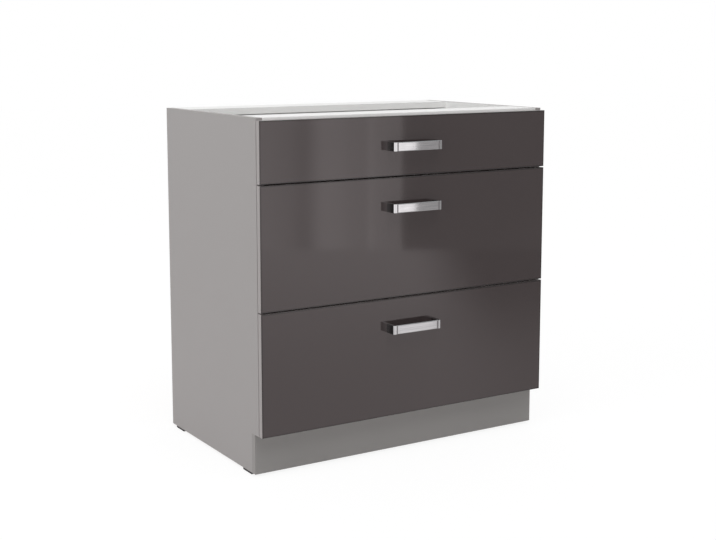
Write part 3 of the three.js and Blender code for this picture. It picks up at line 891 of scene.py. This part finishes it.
# %% [markdown]
# Cam locks pull the rails and the bottom against the sides. What shows of one is a flat disc
# with a cross on the underside of its board, so it is made as a screw head is, only wider
# and nearly without a dome.

# %% Cam locks
CAM_RADIUS = 7.4 * MM
CAM_INSET = 34 * MM                   # from the side panel to the cam's centre
CAM_MARGINS = {                       # from a board's front and rear edge to its cams
    "top_rail_front": 30 * MM,
    "top_rail_rear": 30 * MM,
    "bottom_panel": 60 * MM,
}
CAM = crossed_disc("cam_lock", CAM_RADIUS, height=0.6 * MM, dome=0.1 * MM,
                   cross_length=7 * MM, cross_width=1.4 * MM, cross_depth=0.4 * MM)


def cam_locks(node, margin):
    low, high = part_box(node)
    shape = bmesh.new()
    for _, hand in HANDS:
        for index, y in enumerate((low.y + margin, high.y - margin)):
            place = (hand * (INNER_X - CAM_INSET), y, low.z)
            stamp(shape, CAM, place, (0, 0, -1), 0.3 + 0.5 * index + hand)
    end_piece(shape, f"{node}_cam_locks", "carcass", ZINC)


for board, margin in CAM_MARGINS.items():
    cam_locks(board, margin)
print("cam locks:", 4 * len(CAM_MARGINS))

# %% [markdown]
# Small nails go round the hardboard back, a hand's width apart. At this size a nail's head
# is no more than a low cone, of few faces because there are dozens of them.

# %% Nails in the back
NAIL_PITCH = 110 * MM
NAIL_MARGIN = 8 * MM                  # from the back's top and foot
NAIL_SIDE_MARGIN = 6 * MM             # from the back's left and right edge
NAIL_RADIUS = 1.6 * MM
NAIL_TOP = 1.2 * MM                   # the radius that is left at the head's top
NAIL_HEIGHT = 0.2 * MM
NAIL_SUNK = 0.05 * MM                 # from the back's face to the middle of the head


def nail_rows(low, high):
    """Evenly spaced places between two ends, no further apart than the pitch."""
    gaps = math.ceil((high - low) / NAIL_PITCH)
    return [low + (high - low) * index / gaps for index in range(gaps + 1)]


def back_nails():
    low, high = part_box("back_panel")
    left, right = low.x + NAIL_SIDE_MARGIN, high.x - NAIL_SIDE_MARGIN
    foot, head = low.z + NAIL_MARGIN, high.z - NAIL_MARGIN
    places = [(x, z) for x in (left, right) for z in nail_rows(foot, head)]
    places += [(x, z) for z in (foot, head) for x in nail_rows(left, right)[1:-1]]
    shape = bmesh.new()
    for x, z in places:
        bmesh.ops.create_cone(
            shape, cap_ends=True, segments=12, radius1=NAIL_RADIUS, radius2=NAIL_TOP,
            depth=NAIL_HEIGHT,
            matrix=Matrix.Translation((x, high.y - NAIL_SUNK, z)) @ TO_REAR)
    end_piece(shape, "back_nails", "carcass", ZINC)
    print("nails:", len(places))


back_nails()

# %% [markdown]
# ## The camera
#
# The verticals of the photograph are truly vertical, which a camera that looks level and
# shifts its picture down would give. So large a shift would push the cabinet out of every
# other view, as it stays on there, so most of the way down is a tilt here, and the shift is
# as large as the other views can take. The camera stands where a level one fits the
# cabinet's corners best, so it sees the same faces. Its angle and focal length are fitted
# again with that shift, and the verticals lean by a degree for it. The picture is 716 pixels
# wide.

# %% Place the camera
PICTURE_WIDTH = 716
FOCAL_PIXELS = 1273.2
SHIFT_ROWS = 52
EYE = Vector((-1.6708, -2.6997, 0.9902))
YAW = math.radians(31.736)
TILT = math.radians(7.998)

camera_data = bpy.data.cameras.new("photo_camera")
camera_data.sensor_width = 36.0
camera_data.lens = FOCAL_PIXELS / PICTURE_WIDTH * camera_data.sensor_width
camera_data.shift_y = -SHIFT_ROWS / PICTURE_WIDTH
camera = bpy.data.objects.new("photo_camera", camera_data)
camera.location = EYE
camera.rotation_euler = (math.radians(90) - TILT, 0, -YAW)
bpy.context.scene.collection.objects.link(camera)
bpy.context.scene.camera = camera
print(f"lens {camera_data.lens:.1f} mm, shift {camera_data.shift_y:.3f}")

# %% [markdown]
# ## What the gloss sees
#
# A mirror-like front shows what stands in front of it, which is half of its look. In the
# photograph the left part of the fronts mirrors a pale wall with soft vertical folds, the
# right part something darker, and the lower drawer the floor. Two upright cards do that. To
# place them, follow the camera's ray for a column of the picture to the depth of the card,
# and fold the point back over the plane of the fronts. The cards only show in reflections,
# so they neither light the cabinet nor stand in the way of another view.

# %% Find the cards' places
CARD_DEPTH = 5.97                     # from the camera to the mirrored cards
CARD_HEIGHT = 2.4
CARD_TINT = (1.0, 0.93, 0.935, 1.0)
CARD_COLUMNS = (-300.0, 402.0, 640.0)   # pale card's end, the corner, dark card's end
AHEAD = Vector((math.sin(YAW), math.cos(YAW), 0))
ACROSS = Vector((math.cos(YAW), -math.sin(YAW), 0))
CENTRE_COLUMN = PICTURE_WIDTH / 2


def folded_back(column):
    """The floor point of a card that the fronts mirror into this column of the picture."""
    seen = EYE + CARD_DEPTH * (AHEAD + ACROSS * ((column - CENTRE_COLUMN) / FOCAL_PIXELS))
    return Vector((seen.x, 2 * FRONT_FACE_Y - seen.y, 0))


PALE_END, CORNER, DARK_END = (folded_back(column) for column in CARD_COLUMNS)
CARD_ALONG = (DARK_END - CORNER).normalized()
CARD_NORMAL = Vector((-AHEAD.x, AHEAD.y, 0))
print("cards meet at", [round(value, 2) for value in CORNER], "facing", CARD_NORMAL)

# %% [markdown]
# A card is a line on the floor, extruded upwards, with an emission that only reflections
# see. The pale one gets its folds from a few smooth steps along its length.

# %% Build the cards
def emission(finish, colour, strength):
    return finish.node("ShaderNodeEmission", {}, {"Color": colour, "Strength": strength})


def from_corner(finish, direction):
    """How far a point lies from the cards' corner in one direction, in metres."""
    dot = finish.node("ShaderNodeVectorMath", {"operation": "DOT_PRODUCT"},
                      {0: finish.place, 1: tuple(direction)}, 1)
    return dot - CORNER.dot(direction)


def pale_folds():
    """Soft vertical folds with one narrow bright crease, in metres from the corner."""
    finish = Finish("pale_folds")
    along = from_corner(finish, CARD_ALONG)
    broad = along.ramp(-0.46, -0.38) * (1 - along.ramp(-0.30, -0.24))
    hollow = 1 - (along + 0.47).size().ramp(0.0, 0.12)
    crease = 1 - (along + 0.145).size().ramp(0.0, 0.022)
    rim = 1 - (along + 0.006).size().ramp(0.0, 0.018)
    folds = (along * 46.0).sine() * 0.06
    soft = finish.noise(3.0, 1.0) * 0.2
    light = broad * 0.34 + crease * 0.55 + rim * 0.4 - hollow * 0.45 + folds + soft + 1.58
    return finish.end(emission(finish, CARD_TINT, light))


def dark_card():
    finish = Finish("dark_card")
    tone = finish.noise(1.6, 1.0) * 0.14 + 0.55
    return finish.end(emission(finish, CARD_TINT, tone))


def upright_card(name, start, end, material):
    shape = bmesh.new()
    foot = [shape.verts.new(point) for point in (start, end)]
    base = shape.edges.new(foot)
    raised = bmesh.ops.extrude_edge_only(shape, edges=[base])["geom"]
    lift = [part for part in raised if isinstance(part, bmesh.types.BMVert)]
    bmesh.ops.translate(shape, verts=lift, vec=(0, 0, CARD_HEIGHT))
    card = object_from(shape, name)
    card.data.materials.append(material)
    card.visible_camera = False
    card.visible_diffuse = False
    card.visible_shadow = False
    card.visible_transmission = False
    print(f"{name}: {(Vector(end) - Vector(start)).length:.2f} m wide")


upright_card("pale_card", PALE_END, CORNER, pale_folds())
upright_card("dark_card", CORNER, DARK_END, dark_card())

# %% [markdown]
# Seen from the right, the fronts mirror the ground at their left, which is even, and they
# would look dull. A soft panel stands there for that view. The photograph's reflections
# don't reach it.

# %% A soft panel for the view from the right
PANEL_START = (-2.3, -0.35, 0)
PANEL_END = (-0.78, -1.3, 0)
PANEL_FOOT = 0.15                     # it fades in over its lowest part
PANEL_FADE = 0.18                     # and out towards its end


def soft_panel():
    finish = Finish("soft_panel")
    x, _, z = finish.axes()
    inside = z.ramp(0.0, PANEL_FOOT) * (1 - x.ramp(PANEL_END[0] - PANEL_FADE, PANEL_END[0]))
    return finish.end(emission(finish, CARD_TINT, inside * 0.9 + 1.1))


upright_card("soft_panel", PANEL_START, PANEL_END, soft_panel())

# %% [markdown]
# ## Floor and studio light
#
# The floor is plain and pale. The camera sees it as white as the background, with only the
# cabinet's soft shadow on it, so its material adds light of its own for camera rays and
# leaves a part of the shading in. Reflections see a floor that is bright by the pale card
# and dimmer by the dark one.

# %% The floor
FLOOR_SIZE = 30.0
FLOOR_GREY = 0.74
FLOOR_GLOW = 1.1                      # what the floor adds of its own, 1 is white
FLOOR_SHARE = 0.8                     # the glow's share, the rest is shading
WHITE = (1.0, 1.0, 1.0, 1.0)
SEEN_BY = ("Is Camera Ray", "Is Glossy Ray", "Is Transmission Ray")


def floor_finish():
    """What reflections see of it depends on how far it is from the cards' corner."""
    finish = Finish("pale_floor")
    camera_sees, glossy, passing = finish.node("ShaderNodeLightPath", {}, {}, SEEN_BY)
    away = from_corner(finish, CARD_NORMAL)
    beside = from_corner(finish, CARD_ALONG)
    under_pale = away.ramp(0.0, 3.0, 1.57, 1.07)
    under_dark = away.ramp(0.8, 2.3, 0.50, 0.86)
    mirrored = under_pale + (under_dark - under_pale) * beside.ramp(0.0, 0.35)

    grey = (FLOOR_GREY, FLOOR_GREY, FLOOR_GREY, 1.0)
    body = finish.node("ShaderNodeBsdfDiffuse", {}, {"Color": grey})
    glow = emission(finish, WHITE, (camera_sees + passing) * FLOOR_GLOW)
    toned = finish.node("ShaderNodeMixShader", {},
                        {0: camera_sees * FLOOR_SHARE, 1: body, 2: glow})
    sheen = emission(finish, CARD_TINT, mirrored)
    return finish.end(finish.node("ShaderNodeMixShader", {}, {0: glossy, 1: toned, 2: sheen}))


floor_shape = bmesh.new()
bmesh.ops.create_grid(floor_shape, x_segments=1, y_segments=1, size=FLOOR_SIZE / 2)
floor = object_from(floor_shape, "floor")
floor.data.materials.append(floor_finish())
print(f"floor: {FLOOR_SIZE:.0f} m square")

# %% [markdown]
# The light is a plain white room with a wide soft lamp overhead and a square one high on the
# left, which makes the side a good deal brighter than the fronts. A low one from the left
# keeps the foot of the side from falling off, and a weak one behind on the right keeps the
# far sides from looking dull. The background is white where the camera or a reflection looks
# past everything.

# %% The room and the lamps
ROOM_LIGHT = 0.37


def room():
    finish = Finish("studio", bpy.data.worlds.new("studio"))
    camera_sees, glossy, passing = finish.node("ShaderNodeLightPath", {}, {}, SEEN_BY)
    seen = camera_sees.most(glossy).most(passing)
    strength = seen * (1 - ROOM_LIGHT) + ROOM_LIGHT
    background = finish.node("ShaderNodeBackground", {}, {"Color": WHITE, "Strength": strength})
    return finish.end(background, "ShaderNodeOutputWorld")


def hang(lamp, towards, place=(0, 0, 0)):
    """Adds a lamp that shines from the direction 'towards' and that no reflection shows."""
    placed = bpy.data.objects.new(lamp.name, lamp)
    placed.location = place
    placed.rotation_euler = Vector(towards).to_track_quat("Z", "Y").to_euler()
    placed.visible_glossy = False
    bpy.context.scene.collection.objects.link(placed)


def soft_sun(name, towards, strength, spread):
    """A lamp far away, as wide as its spread in degrees."""
    lamp = bpy.data.lights.new(name, "SUN")
    lamp.energy = strength
    lamp.angle = math.radians(spread)
    hang(lamp, towards)


def soft_box(name, place, aim, size, power):
    """A square lamp at one place, aimed at another, that fades with distance."""
    lamp = bpy.data.lights.new(name, "AREA")
    lamp.energy = power
    lamp.size = size
    hang(lamp, Vector(place) - Vector(aim), place)


bpy.context.scene.world = room()
soft_sun("overhead", (-0.1, -0.42, 1.0), strength=1.17, spread=50)
soft_sun("fill", (0.9, 0.7, 0.5), strength=0.6, spread=90)
soft_sun("low_left", (-1.0, -0.35, 0.05), strength=0.52, spread=20)
soft_box("key", (-2.5, -0.4, 2.5), aim=(-0.4, 0.0, 0.45), size=1.6, power=17.6)
bpy.context.scene.view_settings.view_transform = "Standard"
print("lamps:", len(bpy.data.lights))
